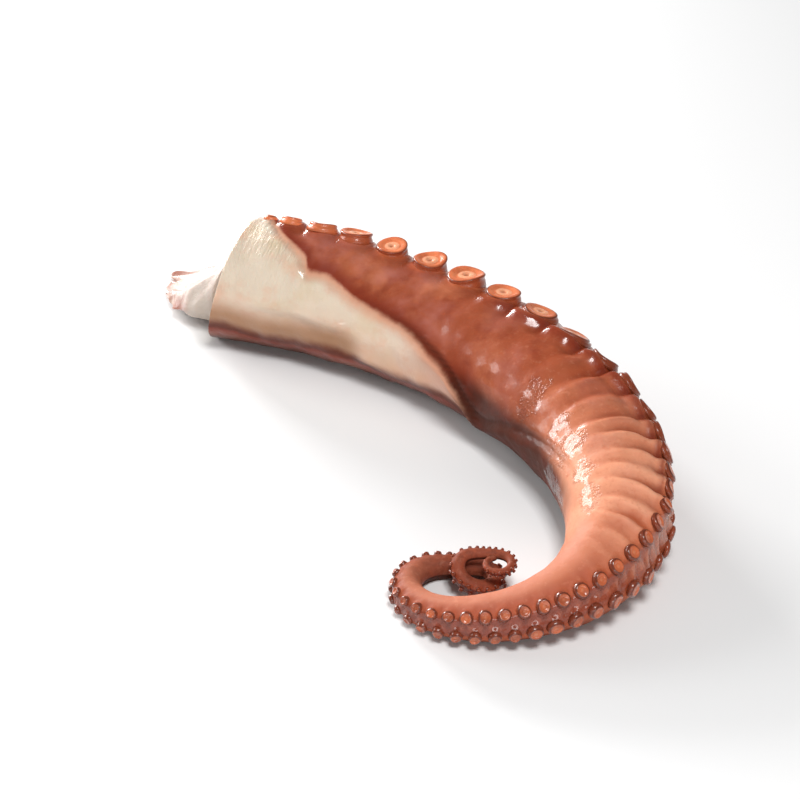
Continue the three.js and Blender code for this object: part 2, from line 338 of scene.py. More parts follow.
# distance, height of the roll
LIP_HEIGHT = [(45, 0), (75, 1), (100, 1.9), (116, 1.9), (130, 1.5), (160, 1.1), (190, 0.3), (200, 0)]
# distance, angle of the upper border of the bared flesh
FLESH_TOP = [(-40, 20), (-10, 48), (-2, 62), (10, 92), (17, 104), (24, 116), (27, 127), (34, 125),
             (42, 132), (48, 138), (56, 142), (64, 145), (74, 148), (82, 152), (90, 159), (98, 165),
             (104, 171), (108, 179), (121, 204), (130, 226)]
FLESH_LOW = 205  # angle of its lower border
FLESH_TIP = 128  # distance at which it runs out


def web_edge(at):
    """Height of the rolled edge, and masks of the line under it and the side beyond it, for painted shade.
    """
    height = along(LIP_HEIGHT, at.s) * ((at.s > 45) & (at.s < 200))
    past = turned(at.angle - along(LIP, at.s))
    past_mm = np.radians(past) * at.girth
    roll = height * (np.exp(-((past - 6) / 18) ** 2) - 0.5 * np.exp(-((past + 18) / 12) ** 2))
    roll += height * (0.45 * np.exp(-((past_mm - 2.2) / 1.9) ** 2)
                      - 0.75 * np.exp(-((past_mm + 1.5) / 1.2) ** 2))
    line = height / 1.9 * np.exp(-((past_mm + 1.3) / 1.5) ** 2)
    beyond = smooth(past_mm, -1.5, 2.5) * (1 - smooth(past, 50, 75))
    return roll, line, beyond * smooth(at.s, 100, 116) * (1 - smooth(at.s, 160, 198))


def bared_flesh(at):
    """Millimetres inside the bared flesh and over its lower border, and its own height."""
    top_mm = np.radians(at.angle - along(FLESH_TOP, at.s)) * at.girth
    low_mm = np.radians(FLESH_LOW + 3 * np.sin(at.s / 9) - at.angle) * at.girth
    inside = np.minimum(np.minimum(top_mm, low_mm), (FLESH_TIP - at.s) * 0.7)
    height = -0.45 * smooth(inside, -0.8, 0.8) * (1 - smooth(at.s, 50, 75))
    soft = 0.55 * lumps(at.around, 15, 8) + 0.3 * lumps(at.around, 6, 9)
    ledge = np.exp(-((low_mm - 16 - 2 * np.sin(at.s / 9)) / 2.2) ** 2) + 0.6 * smooth(low_mm, 13, 19)
    ledge *= smooth(inside, 1, 5) * smooth(at.s, 0, 14) * (1 - smooth(at.s, 44, 52))
    return inside, low_mm, height + smooth(inside, -0.5, 3) * soft + 1.5 * ledge


print("flesh at 40 mm is bared for",
      int((bared_flesh(places(np.full(360, 40.0), np.arange(360.0)))[0] > 0).sum()), "degrees")

# %% [markdown]
# All the forms are added up here. Beside the reach, each point gets masks and distances that the
# finish will read: they say where the skin ends, where it folds, where shade and light are painted
# into its colour, and where films of juice have dried on it.

# %% Add up the skin
# distance, angle, half length and half angle of each film of juice
FILMS = [(146, 140, 5, 25), (165, 135, 3.5, 20), (178, 138, 7, 22), (194, 131, 5, 15),
         (209, 124, 7, 15), (176, 184, 8, 12), (190, 176, 5, 8)]


def skin_form(s, angle):
    """How far the skin stands from the axis, and the masks that the finish reads."""
    at = places(s, angle)
    fold, crease, valley = folds(at)
    recess, pleat = recesses(at), pleats(at)
    roll, line, beyond = web_edge(at)
    inside, low_mm, flesh_height = bared_flesh(at)
    middle = -0.05 * np.exp(-(at.off / 16) ** 2) - 0.03 * recess
    rough = at.scale * (0.3 * lumps(at.around, 13, 5) + 0.12 * lumps(at.around, 4.5, 6))
    reach = at.girth * (1 + fold + middle - 0.045 * crease + along(PLEAT, s) * pleat)
    reach += feet(at) + roll + rough + flesh_height
    # painted shade along the lower side of the thin half, read with the underside
    lower_side = (1 - smooth(at.off, -2 * at.row - 12, -at.row - 2)) * smooth(s, 185, 215)
    return reach, {
        "along": s,
        "arc": np.radians(angle) * at.girth,
        "flesh": inside,
        "low": low_mm,
        "crease": np.clip(crease * smooth(at.side, at.row + 4, at.row + 16), 0, 1),
        "valley": valley,
        "recess": recess,
        "pleat": pleat,
        "fold_edge": line,
        # painted shade on the inside of the bend, past the web's edge
        "inner": beyond,
        "oral": 1 - smooth(at.side, at.row * 0.55, at.row + 4),
        # the underside: partly its own darker brown, partly painted shade
        "under": np.maximum(smooth(angle, 205, 225), lower_side),
        # painted light on the crown of the thin half
        "crown": smooth(at.off, at.row + 20, at.row + 50) * (1 - smooth(angle, 140, 180)),
        "film": sum(np.exp(-((s - film) / long) ** 2 - (turned(angle - facing) / wide) ** 2)
                    for film, facing, long, wide in FILMS),
        "foot": np.exp(-(at.near / (0.6 * at.disc)) ** 4),
        "wet_ring_and_shade": np.exp(-((at.near / at.disc - 0.66) / 0.12) ** 2) * (1 - smooth(s, 190, 210)),
    }


print("reach at the top of the arm:", skin_form(np.array([60.0]), np.array([90.0]))[0])

# %% [markdown]
# Last, the reach is laid on the axis. What would sink through the table is eased to rest on it,
# as soft flesh does under its own weight.

# %% Lay on the axis
TABLE_EASE = 0.7


def rest_on_table(points):
    """Points close to the table or under it are eased to just above it."""
    low = points[:, 2] < TABLE_EASE
    points[low, 2] = TABLE_EASE * np.exp((points[low, 2] - TABLE_EASE) / TABLE_EASE)
    return points


def lay(s, angle, reach):
    """Points at a reach and angle about the axis; nothing sinks through the table."""
    centre, _, outward, upward = station(s)
    turn = np.radians(angle)[:, None]
    return rest_on_table(centre + reach[:, None] * (np.cos(turn) * outward + np.sin(turn) * upward))


print("top of the arm at 60 mm:", lay(np.array([60.0]), np.array([90.0]), np.array([22.8])).round(1))

# %% [markdown]
# ## Helpers for pieces
# A tube is the shortest way to a closed limb: one straight line of points, spun once around it.
# `straight_tube` does that with bmesh operators and leaves the line's own position, from 0 to 1,
# on X. `settle` turns a finished bmesh into an object that rides on the part's one body.

# %% Tube and settle
MM = 0.001


def straight_tube(rows, around):
    """An open tube of radius 1 along X from 0 to 1, as a bmesh."""
    bm = bmesh.new()
    line = bm.edges.new([bm.verts.new((0, 0, -1)), bm.verts.new((1, 0, -1))])
    bmesh.ops.subdivide_edges(bm, edges=[line], cuts=rows - 1)
    bmesh.ops.spin(bm, geom=bm.verts[:] + bm.edges[:], cent=(0, 0, 0), axis=(1, 0, 0),
                   angle=2 * math.pi, steps=around, use_merge=True)
    return bm


def settle(bm, name, finish):
    """A bmesh in millimetres becomes a piece of the part, in metres."""
    bmesh.ops.recalc_face_normals(bm, faces=bm.faces)
    bmesh.ops.scale(bm, vec=(MM, MM, MM), verts=bm.verts)
    mesh = bpy.data.meshes.new(name)
    bm.to_mesh(mesh)
    bm.free()
    mesh.shade_smooth()
    mesh.materials.append(finish)
    piece = bpy.data.objects.new(name, mesh)
    bpy.context.collection.objects.link(piece)
    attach(piece, "root")
    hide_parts("octopus_arm")
    print(name, len(mesh.polygons), "faces, size",
          [round(v / MM, 1) for v in piece.dimensions], "mm")
    return piece


def read_points(bm):
    """The positions of a bmesh's points as an array."""
    return np.array([v.co[:] for v in bm.verts])


def write_points(bm, points):
    """Move a bmesh's points."""
    for v, p in zip(bm.verts, points):
        v.co = p


def write_masks(bm, masks):
    """Store named values on a bmesh's points, for the finish to read."""
    for name, values in masks.items():
        layer = bm.verts.layers.float.get(name) or bm.verts.layers.float.new(name)
        for v, value in zip(bm.verts, values):
            v[layer] = value


# %% [markdown]
# ## Nodes as sums
# Finishes for wet food need many small layers of colour, and a node tree built by hand soon gets
# lost in links. Here one small class wraps a node's output, so that `1 - mask` or `a * b` adds
# the Math node it needs. It is for plain numbers: a Math node would turn a colour grey, so colours
# are mixed by `mix`. Every other node comes from the one method `node` of a finish.

# %% Node helpers
def tint(red, green, blue):
    """A colour from its screen values, 0 to 255, in the linear form that nodes use."""
    parts = [v / 255 for v in (red, green, blue)]
    return tuple(v / 12.92 if v < 0.04045 else ((v + 0.055) / 1.055) ** 2.4 for v in parts) + (1,)


class Wire:
    """One output of a node, with arithmetic."""

    def __init__(self, finish, socket):
        self.finish = finish
        self.socket = socket

    def sum(self, operation, first, second):
        return self.finish.node("ShaderNodeMath", {"operation": operation}, {0: first, 1: second})

    def __add__(self, other):
        return self.sum("ADD", self, other)

    def __radd__(self, other):
        return self.sum("ADD", other, self)

    def __sub__(self, other):
        return self.sum("SUBTRACT", self, other)

    def __rsub__(self, other):
        return self.sum("SUBTRACT", other, self)

    def __mul__(self, other):
        return self.sum("MULTIPLY", self, other)

    def __rmul__(self, other):
        return self.sum("MULTIPLY", other, self)


class Finish:
    """A material whose nodes come from one method."""

    def __init__(self, name):
        self.material = bpy.data.materials.new(name)
        self.material.use_nodes = True
        self.tree = self.material.node_tree
        self.tree.nodes.clear()

    def node(self, kind, settings, inputs, output=0):
        """Add a node: its settings first, then the values or wires of its sockets."""
        made = self.tree.nodes.new(kind)
        for key, value in settings.items():
            setattr(made, key, value)
        for key, value in inputs.items():
            if isinstance(value, Wire):
                self.tree.links.new(value.socket, made.inputs[key])
            else:
                made.inputs[key].default_value = value
        return Wire(self, made.outputs[output]) if made.outputs else None

    def place(self):
        return self.node("ShaderNodeTexCoord", {}, {}, "Object")

    def mark(self, name):
        """A value stored on the piece's points."""
        return self.node("ShaderNodeAttribute", {"attribute_name": name}, {}, "Fac")

    def noise(self, where, millimetres, detail=2, roughness=0.5, distortion=0):
        """Cloudy noise with patches of about that size, from 0 to 1."""
        return self.node("ShaderNodeTexNoise", {}, {
            "Vector": where, "Scale": 1000 / millimetres, "Detail": detail, "Roughness": roughness,
            "Distortion": distortion}, "Fac")

    def step(self, value, low, high):
        """0 below low and 1 above high, or the other way round where low is the larger."""
        return self.node("ShaderNodeMapRange", {"interpolation_type": "SMOOTHSTEP"},
                         {"Value": value, "From Min": low, "From Max": high})

    def mix(self, amount, first, second):
        """One colour gives way to another as the amount goes from 0 to 1."""
        return self.node("ShaderNodeMix", {"data_type": "RGBA"}, {0: amount, 6: first, 7: second}, 2)

    def greatest(self, first, second):
        return self.node("ShaderNodeMath", {"operation": "MAXIMUM"}, {0: first, 1: second})

    def stretch(self, where, x, y, z):
        """The place scaled by different amounts along X, Y and Z."""
        return self.node("ShaderNodeVectorMath", {"operation": "MULTIPLY"}, {0: where, 1: (x, y, z)})

    def join(self, x, y):
        """A place made from two values, as millimetres."""
        return self.node("ShaderNodeCombineXYZ", {}, {0: x * MM, 1: y * MM})

    def bump(self, height, millimetres):
        """Tilt the light on the surface as if it stood out by that much where height is 1."""
        return self.node("ShaderNodeBump", {},
                         {"Height": height, "Strength": 1, "Distance": millimetres * MM})

    def surface(self, varying, **fixed):
        """Close the tree with a Principled surface and return the material."""
        inputs = {key.replace("_", " "): value for key, value in fixed.items()}
        inputs.update(varying)
        shader = self.node("ShaderNodeBsdfPrincipled", {}, inputs)
        self.node("ShaderNodeOutputMaterial", {}, {"Surface": shader})
        return self.material


# %% [markdown]
# ## The skin
# Boiled octopus skin is a thin, wet, red-brown film: burgundy where it is thick, tan and pink
# where the flesh shines through. Painted shade darkens it in the creases, in the hollows by the
# suckers, along the underside and by the edge of the web, and the paler flank past the bend is
# partly painted light. Where the web was trimmed off, the flesh is bare and creamy. The borders
# come from distances stored on the mesh, with noise added, so they stay sharp and ragged however
# far apart the points are. Films of juice have dried unevenly along the inside of the bend: there
# a coat is laid in small crinkled plates, and only those plates mirror a light. The base itself
# shines very little, because a second plain shine under the coat would lie over the dark skin
# like mist.

# %% Colours of skin and flesh
BURGUNDY = tint(116, 38, 22)
BRICK = tint(148, 72, 46)
TAN = tint(206, 126, 90)
BLUSH_AND_PAINTED_LIGHT = tint(246, 176, 142)
ORANGE = tint(206, 98, 48)
UMBER = tint(66, 28, 16)
MAUVE = tint(174, 106, 94)
RUSSET = tint(118, 52, 32)
CORAL = tint(226, 128, 84)
AMBER = tint(172, 82, 48)
CREAM = tint(214, 198, 178)
STRAW = tint(198, 174, 136)
FLESH_CUT = tint(176, 158, 132)
FLESH_HEART = tint(150, 122, 84)
SHELL = tint(214, 158, 128)
HIDE_AND_SHADE = tint(158, 114, 80)
print("darkest and palest in red:", round(UMBER[0], 3), round(CREAM[0], 3))

# %% Mottled skin
def skin_tones(f, where, s):
    """The mottled colour of the skin, drifting from burgundy at the thick end to tan further on."""
    broad = f.noise(where, 34, 3, 0.55)
    small = f.noise(where, 9, 4, 0.6)
    pale = f.step(s, 125, 200) * 0.55 + f.step(broad, 0.42, 0.68) * 0.35
    tone = f.mix(pale, BRICK, TAN)
    # painted light: the flank past the bend is made paler, partly its own pink and partly standing in for
    # the light on it
    blush_and_painted_light = f.step(s, 152, 200) * f.step(s, 262, 225)
    tone = f.mix(blush_and_painted_light * f.step(s, 240, 205) * (f.step(small, 0.3, 0.75) * 0.4 + 0.5), tone, BLUSH_AND_PAINTED_LIGHT)
    tone = f.mix(f.step(small, 0.46, 0.72) * (0.42 - blush_and_painted_light * 0.2), tone, BURGUNDY)
    tone = f.mix(f.step(f.noise(where, 20, 3), 0.44, 0.66) * (f.step(s, 110, 80) * 0.45 + 0.3), tone, MAUVE)
    tone = f.mix(f.step(f.noise(where, 14, 3), 0.5, 0.7) * f.step(s, 130, 90) * 0.35, tone, TAN)
    # painted shade: darker orange in the valleys between the folds
    tone = f.mix(f.mark("valley"), tone, AMBER)
    tone = f.mix(f.step(s, 212, 245) * 0.55, tone, AMBER)
    tone = f.mix(f.step(s, 220, 240) * (f.step(broad, 0.35, 0.65) * 0.25 + 0.15), tone, MAUVE)
    tone = f.mix(f.step(s, 265, 325) * 0.7, tone, RUSSET)
    return f.mix(f.step(f.noise(where, 5, 4, 0.65), 0.44, 0.64) * f.step(s, 270, 330) * 0.35, tone, UMBER)


print("red of the skin, thick end and further on:", round(BRICK[0], 2), round(TAN[0], 2))

# %% [markdown]
# Over the mottled colour lie the stains, and the painted shade and painted light: each is an amount,
# from 0 to 1, and the colour that it pulls the skin to. They are laid in order, so a later one
# covers an earlier one.

# %% Stains and painted light on the skin
def skin_with_stains_and_painted_light(f, where, s, edge):
    """The mottled skin with its flecks and stains, painted shade in most of its dark places and painted
    light on its crown.
    """
    broken = f.step(f.noise(where, 12, 4, 0.6), 0.4, 0.7)
    small = f.noise(where, 4, 4, 0.65)
    oral, foot = f.mark("oral"), f.mark("foot")
    # painted shade low on the inside of the bend
    shaded = f.step(f.mark("low"), 20, 12) * f.step(s, 98, 112) * f.step(s, 214, 180) * 0.95
    stains_and_painted_light = [
        # flecks
        (f.step(f.noise(where, 2.4, 3, 0.65), 0.5, 0.75) * 0.3, AMBER),
        (f.step(f.noise(where, 2.1, 3, 0.6), 0.52, 0.74) * f.step(s, 90, 150) * 0.12, BLUSH_AND_PAINTED_LIGHT),
        # beside the bared flesh its own burgundy, and painted shade past its tip
        (f.step(edge, -9, -2) * f.step(s, 150, 122) * 0.8, BURGUNDY),
        (f.step(edge, -22, -6) * f.step(s, 96, 112) * f.step(s, 142, 122) * 0.7, BURGUNDY),
        # painted shade in the creases and the hollows between the suckers, orange at their feet
        (f.mark("crease") * 0.35, BURGUNDY),
        (f.mark("recess") * 0.7, BURGUNDY),
        (foot * 0.4, ORANGE),
        # the sucker side of the thin half: its own darker colour, paler on the pleats' ridges as painted
        # light, and painted shade at the beads' feet
        (oral * f.step(s, 175, 215) * (0.7 - f.mark("pleat") * 0.4), BURGUNDY),
        (oral * f.step(s, 200, 240) * f.step(small, 0.35, 0.65) * 0.7, RUSSET),
        (foot * f.step(s, 205, 230) * 0.4, BURGUNDY),
        # painted shade in the wet ring round each sucker's foot
        (f.mark("wet_ring_and_shade") * (f.step(s, 90, 120) * 0.4 + 0.3), BURGUNDY),
        # painted shade over the inside of the bend, painted light on the crown of the thin half, and the
        # underside darker, partly its own brown and partly painted shade
        (f.greatest(f.mark("inner") * 0.95, shaded), f.mix(broken * 0.45, UMBER, BURGUNDY)),
        (f.mark("crown") * f.step(s, 205, 240) * f.step(s, 320, 285) * 0.22, BLUSH_AND_PAINTED_LIGHT),
        (f.mark("under") * 0.85, UMBER),
        (f.step(f.mark("arc"), 10, -6) * f.step(s, 120, 150) * f.step(s, 262, 235) * 0.3, AMBER),
    ]
    skin = skin_tones(f, where, s)
    for amount, colour in stains_and_painted_light:
        skin = f.mix(amount, skin, colour)
    return skin


print("deepest stain:", [round(v, 3) for v in UMBER[:3]])

# %% [markdown]
# Bared flesh is cream with straw-coloured clouds. It turns pinkish towards its tip and browner
# where it nears the table, partly a thin brown film of skin and partly painted shade, and the cut
# face is drier, with a darker heart.

# %% Bared flesh
def flesh_tones(f, where, s, low):
    """The colour of the bared flesh, by its height over the flesh's lower border."""
    heart = f.mark("heart") + (f.noise(where, 5, 3) - 0.5) * 0.5
    flesh = f.mix(f.step(f.noise(where, 22, 3), 0.45, 0.7) * 0.6, CREAM, STRAW)
    for amount, colour in [
        (f.step(f.noise(where, 9, 4, 0.6), 0.46, 0.72) * 0.4, SHELL),
        (f.step(s, 66, 112) * 0.7, MAUVE),
        # painted shade: browner towards the lower border and under the ledge, partly a brown film of skin
        (f.step(low, 24, 1) * 0.6, SHELL),
        (f.step(low, 17, 7) * f.step(s, 60, 48) * 0.95, HIDE_AND_SHADE),
        (f.step(low, 5, 0) * 0.8, BRICK),
        (f.mark("cut"), f.mix(f.step(heart, 0.45, 0.8), FLESH_CUT, FLESH_HEART)),
    ]:
        flesh = f.mix(amount, flesh, colour)
    return flesh


print("cut face and its heart in red:", round(FLESH_CUT[0], 2), round(FLESH_HEART[0], 2))

# %% [markdown]
# Skin and flesh meet in a ragged line with a thin pale or dark edge. `crackled` marks the dried
# films and `plates` the crinkled plates in them. The bump makes the skin's fine grain, the fibres
# of the flesh and the plates: they are all far too small for the mesh.

# %% Skin finish
def skin_finish():
    f = Finish("wet skin and bared flesh")
    where, s = f.place(), f.mark("along")
    arm = f.join(s, f.mark("arc"))
    ragged = (f.noise(where, 8, 4, 0.6) - 0.5) * 3.2
    edge = f.mark("flesh") + ragged
    low = f.mark("low") + ragged * 0.6
    bared = f.greatest(f.step(edge, -1.2, 6), f.step(f.mark("cut"), 0.3, 0.8))
    colour = skin_with_stains_and_painted_light(f, where, s, edge)
    colour = f.mix(f.step(edge, -2, 0.4) * 0.8, colour,
                   f.mix(f.step(f.mark("low"), 4, 10), UMBER, SHELL))
    colour = f.mix(bared, colour, flesh_tones(f, where, s, low))
    # painted shade in the fine line under the web's rolled edge
    colour = f.mix(f.mark("fold_edge") * 0.8, colour, UMBER)

    crackled = f.step(f.mark("film") + (f.noise(where, 5, 4, 0.65) - 0.5) * 1.4, 0.3, 0.5)
    wrinkle = f.noise(f.stretch(arm, 1.2, 0.9, 1), 1.9, 3, 0.6, 0.4)
    plates = f.step(wrinkle, 0.36, 0.5)
    wet = f.step(f.noise(where, 18, 3, 0.6), 0.35, 0.6) * f.step(s, 205, 150)
    inside, wet_ring_and_shade = f.mark("oral") * f.step(s, 175, 215), f.mark("wet_ring_and_shade")
    streak = f.noise(f.stretch(arm, 2.6, 0.35, 1), 3.2, 3, 0.6)
    fibres = streak * f.step(s, 50, 20) * f.step(low, 14, 20)
    height = f.noise(where, 6, 3) * 0.6 + (f.noise(where, 0.8, 3, 0.6) - 0.5) * (crackled * 0.6 + 0.06)
    height = height + (wrinkle - 0.5) * (crackled * 1.6 + 0.08) * (1 - bared)
    height = height + bared * (fibres + f.noise(where, 3.4, 4, 0.62) * 0.7)
    height = height + (inside * 1.6 + wet_ring_and_shade * 0.6) * f.noise(where, 2.8, 3, 0.6)
    return f.surface({
        "Base Color": colour,
        "Roughness": 0.38 - wet * 0.08 - crackled * 0.18 + bared * 0.04 + f.step(s, 195, 212) * 0.16
        - inside * 0.24 - wet_ring_and_shade * 0.14 + f.mark("inner") * 0.2,
        "Coat Weight": (wet * 0.3 + inside * 0.7 + wet_ring_and_shade * 0.4 + bared * 0.4)
        * (1 - f.mark("inner")) * (1 - f.mark("fold_edge")) + crackled * plates * 0.9,
        "Normal": f.bump(height, 0.6),
    }, Specular_IOR_Level=0.12, Coat_Roughness=0.1, Coat_IOR=1.6, Subsurface_Weight=0.12,
        Subsurface_Scale=0.003, Subsurface_Radius=(1, 0.45, 0.3))


SKIN = skin_finish()
print("skin has", len(SKIN.node_tree.nodes), "nodes")

# %% [markdown]
# ## The arm
# The arm is one closed limb. A straight tube is laid on the axis by its distance and angle, with
# more of its points on the upper side, where the relief is seen, and near the tip, where the
# bends are tight. The cut end is then made as a knife makes it, by one plane through the tube,
# and insets give the cut face its thin edge of skin and its gently swollen flesh.

# %% Lay the tube along the axis
ROWS, AROUND = 740, 108
BEGIN = -22


def row_places(u):
    """Distances for rows numbered 0 to 1: rows crowd together where the arm is thin."""
    s = np.linspace(BEGIN, ARM_LENGTH, 4000)
    spacing = np.clip(0.05 * along(GIRTH, s), 0.26, 0.95)
    walked = np.concatenate([[0], np.cumsum(1 / spacing)[:-1]])
    return np.interp(u, walked / walked[-1], s)


def column_angle(turn):
    """Angles for columns turned -180 to 180 from the underside: most go to the upper side."""
    return 90 + turn - 22 * np.sin(np.radians(turn))


print("rows and columns:", ROWS, AROUND)

# %% [markdown]
# The tube's points are moved before its tip is drawn together, so that the places computed for
# each point still belong to it. Each ring of the cut face is a little smaller than the one before
# and stands out a little from it, so the flesh swells inside its skin. The marks `cut` and
# `heart` tell the finish where the face is and how near its middle.

# %% Cut the thick end
CUT_THROUGH = Vector((SHIFT[0] - 64, SHIFT[1] + 72, 22))
CUT_FACES = Vector((0.93, -0.30, -0.25)).normalized()
CUT_RINGS = ((0.97, 0.25), (0.95, 0.35), (0.85, 0.5), (0.75, 0.3), (0.6, 0.1))  # shrink, rise
TIP_ROUNDING = 1.4


def make_arm():
    bm = straight_tube(ROWS, AROUND)
    straight = read_points(bm)
    s = row_places(straight[:, 0])
    angle = column_angle(np.degrees(np.arctan2(straight[:, 1], straight[:, 2])))
    reach, masks = skin_form(s, angle)
    left = np.clip((ARM_LENGTH - s) / TIP_ROUNDING, 0, 1)
    write_masks(bm, masks)
    write_masks(bm, {"cut": np.zeros(len(s)), "heart": np.zeros(len(s))})
    tip = [v for v in bm.verts if v.co.x > 1 - 1e-5]
    write_points(bm, lay(s, angle, reach * np.sqrt(1 - (1 - left) ** 2)))
    bmesh.ops.pointmerge(bm, verts=tip, merge_co=station(ARM_LENGTH)[0][0])
    sliced = bmesh.ops.bisect_plane(bm, geom=bm.verts[:] + bm.edges[:] + bm.faces[:], dist=1e-4,
                                    plane_co=CUT_THROUGH, plane_no=-CUT_FACES, clear_outer=True)
    rim = [e for e in sliced["geom_cut"] if isinstance(e, bmesh.types.BMEdge)]
    cut, heart = (bm.verts.layers.float[name] for name in ("cut", "heart"))
    inward = 1
    middle = sum((v.co for e in rim for v in e.verts), Vector()) / (2 * len(rim))
    for shrink, rise in CUT_RINGS:
        grown = bmesh.ops.extrude_edge_only(bm, edges=rim)["geom"]
        rim = [e for e in grown if isinstance(e, bmesh.types.BMEdge) and e.is_boundary]
        ring = list({v for e in rim for v in e.verts})
        bmesh.ops.translate(bm, vec=-CUT_FACES * rise, verts=ring)
        bmesh.ops.scale(bm, vec=(shrink,) * 3, space=Matrix.Translation(-middle), verts=ring)
        inward *= shrink
        for v in ring:
            v[cut], v[heart] = 1, 1 - inward
    for v in bmesh.ops.poke(bm, faces=bmesh.ops.edgeloop_fill(bm, edges=rim)["faces"])["verts"]:
        v[cut], v[heart] = 1, 1
    return bm


arm = settle(make_arm(), "arm", SKIN)

# %% [markdown]
# ## The suckers
# A sucker is a short stalk with a rubbery cup: a raised rim, a shallow dish inside it, and a pale
# ring around a small hole in the middle. It is round, so it is turned like a bowl: half of its
# outline is drawn once and spun about its axis. Real suckers are never quite round or level, so
# each is squeezed, tipped and waved a little by seeded chance before it is set on the skin.

# %% Sucker profile
# distance out in radii, height in sucker heights, then how much of it is rim, dish and hole
CUP = [
    (0.00, -0.60, 0, 0, 0), (1.06, -0.50, 0, 0, 0), (1.00, 0.00, 0, 0, 0), (0.95, 0.22, 0, 0, 0),
    (0.94, 0.42, 0, 0, 0), (0.97, 0.60, 0.2, 0, 0), (1.00, 0.76, 0.7, 0, 0), (1.00, 0.89, 1, 0, 0),
    (0.95, 0.99, 0.8, 0.3, 0), (0.86, 1.02, 0.2, 0.8, 0), (0.76, 0.97, 0, 1, 0),
    (0.64, 0.84, 0, 1, 0), (0.52, 0.77, 0, 1, 0.1), (0.42, 0.80, 0, 1, 0.5), (0.32, 0.86, 0, 1, 0.5),
    (0.22, 0.80, 0, 1, 0.6), (0.13, 0.64, 0, 1, 0.9), (0.00, 0.58, 0, 1, 1)]
BEAD = [
    (0.00, -0.60, 0, 0, 0), (1.10, -0.50, 0, 0, 0), (1.06, 0.05, 0, 0, 0), (1.03, 0.30, 0.3, 0, 0),
    (0.98, 0.54, 0.8, 0, 0), (0.90, 0.76, 1, 0, 0), (0.80, 0.92, 0.9, 0.2, 0), (0.68, 0.97, 0.3, 0.8, 0),
    (0.54, 0.80, 0, 1, 0), (0.38, 0.60, 0, 1, 0), (0.20, 0.66, 0, 1, 0.3), (0.00, 0.70, 0, 1, 0.5)]
DOT = [BEAD[i] for i in (0, 1, 3, 5, 7, 9, 11)]
print(len(CUP), len(BEAD), len(DOT), "points in the three outlines")

# %% [markdown]
# Big suckers are cups, the small ones of the thin half are domed beads, and those of the tip are
# dots with few faces. At both ends of the thick half they sit snug in the skin, so there the cup
# is spread at its foot and lower on its stalk. The lower row leans less, because the table is
# under it.

# %% Spin one sucker
# distance, height of a sucker in widths
TALL = [(0, 0.2), (10, 0.16), (25, 0.15), (45, 0.16), (70, 0.21), (95, 0.17), (115, 0.1),
        (195, 0.09), (225, 0.14), (255, 0.2), (300, 0.24), (397, 0.27)]
# distance, degrees that the upper row leans up
LEAN = [(0, -6), (32, -6), (50, 17), (105, 14), (125, 5), (145, -6), (185, -8), (205, 0), (397, 0)]
STEPS = (30, 18, 12)


def spun_cup(s, width, tall, rng):
    """One sucker as a bmesh, standing on its foot: its outline spun, then made uneven."""
    rank = 0 if width > 7 else 1 if width > 2.4 else 2
    snug = snug_at(s)
    cup = bmesh.new()
    layers = [cup.verts.layers.float.new(name) for name in ("rim", "dish", "hole", "along")]
    line = []
    for reach, up, *marks in (CUP, BEAD, DOT)[rank]:
        reach *= 1 + snug * (0.1 - 0.2 * max(up, 0) if reach > 0.9 else -0.1)
        v = cup.verts.new((reach * width / 2, 0, up * tall if up > 0 else up * width * 0.3))
        for layer, mark in zip(layers, marks + [s]):
            v[layer] = mark
        line.append(v)
    edges = [cup.edges.new(pair) for pair in zip(line, line[1:])]
    bmesh.ops.spin(cup, geom=line + edges, cent=(0, 0, 0), axis=(0, 0, 1), angle=2 * math.pi,
                   steps=STEPS[rank], use_merge=True)
    bmesh.ops.remove_doubles(cup, verts=cup.verts, dist=1e-4)
    squeeze, ripple = rng.uniform(0, 2 * math.pi, 3)[[0, 2]]
    oval, wave = rng.uniform(0.01, 0.07), rng.uniform(0.02, 0.06)
    for v in cup.verts:
        turn = math.atan2(v.co.y, v.co.x)
        grow = 1 + oval * math.cos(2 * (turn - squeeze)) + 0.02 * math.cos(3 * turn + ripple)
        v.co.x, v.co.y = v.co.x * grow, v.co.y * grow
        out = min(v.co.xy.length / (width / 2), 1)
        v.co.z += wave * width * out ** 2 * math.cos(2 * turn + ripple) * (v.co.z > 0)
    return cup


def snug_at(s):
    """How snug a sucker sits in the skin at distance s, 0 to 1."""
    return float(smooth(s, 92, 118) * (1 - smooth(s, 196, 210)) + 1 - smooth(s, 18, 40))


def sucker_on(bm, s, upper, rng):
    """Spin one sucker and set it on the skin at distance s."""
    width = float(along(DISC, s)) * rng.uniform(0.93, 1.05)
    tall = float(along(TALL, s)) * width * rng.uniform(0.9, 1.1) + 0.3
    cup = spun_cup(s, width, tall, rng)
    angle = float(along(ROLL, s)) + (1 if upper else -1) * float(along(ROW_HALF, s))
    lean = angle + (1 if upper else -0.4) * float(along(LEAN, s)) + rng.normal(0, 3)
    _, forward, outward, upward = (Vector(a[0]) for a in station(s))
    reach = skin_form(np.array([s]), np.array([angle]))[0]
    foot = Vector(lay(np.array([s]), np.array([angle]), reach - (0.1 + 0.04 * snug_at(s)) * width)[0])
    axis = outward * math.cos(math.radians(lean)) + upward * math.sin(math.radians(lean))
    axis = (axis + forward * rng.normal(0, 0.06)).normalized()
    across = axis.cross(forward).normalized()
    place = Matrix((across.cross(axis), across, axis)).transposed().to_4x4()
    place.translation = foot + axis * (0.1 * width)
    bmesh.ops.transform(cup, matrix=place, verts=cup.verts)
    mesh = bpy.data.meshes.new("cup")
    cup.to_mesh(mesh)
    cup.free()
    bm.from_mesh(mesh)
    bpy.data.meshes.remove(mesh)


print("a sucker at 60 mm is", along(DISC, 60).round(1), "mm across")

# %% [markdown]
# ## The suckers' finish
# The cups are the brightest and glossiest part: orange-pink dishes with a paler middle, a thin
# dark line at the rim, partly painted shade, and dark stalks, darkened further with painted shade
# from the bend on. The marks on the outline say which is which.

# %% Sucker finish
PEACH = tint(246, 186, 148)
BARK = tint(84, 36, 24)


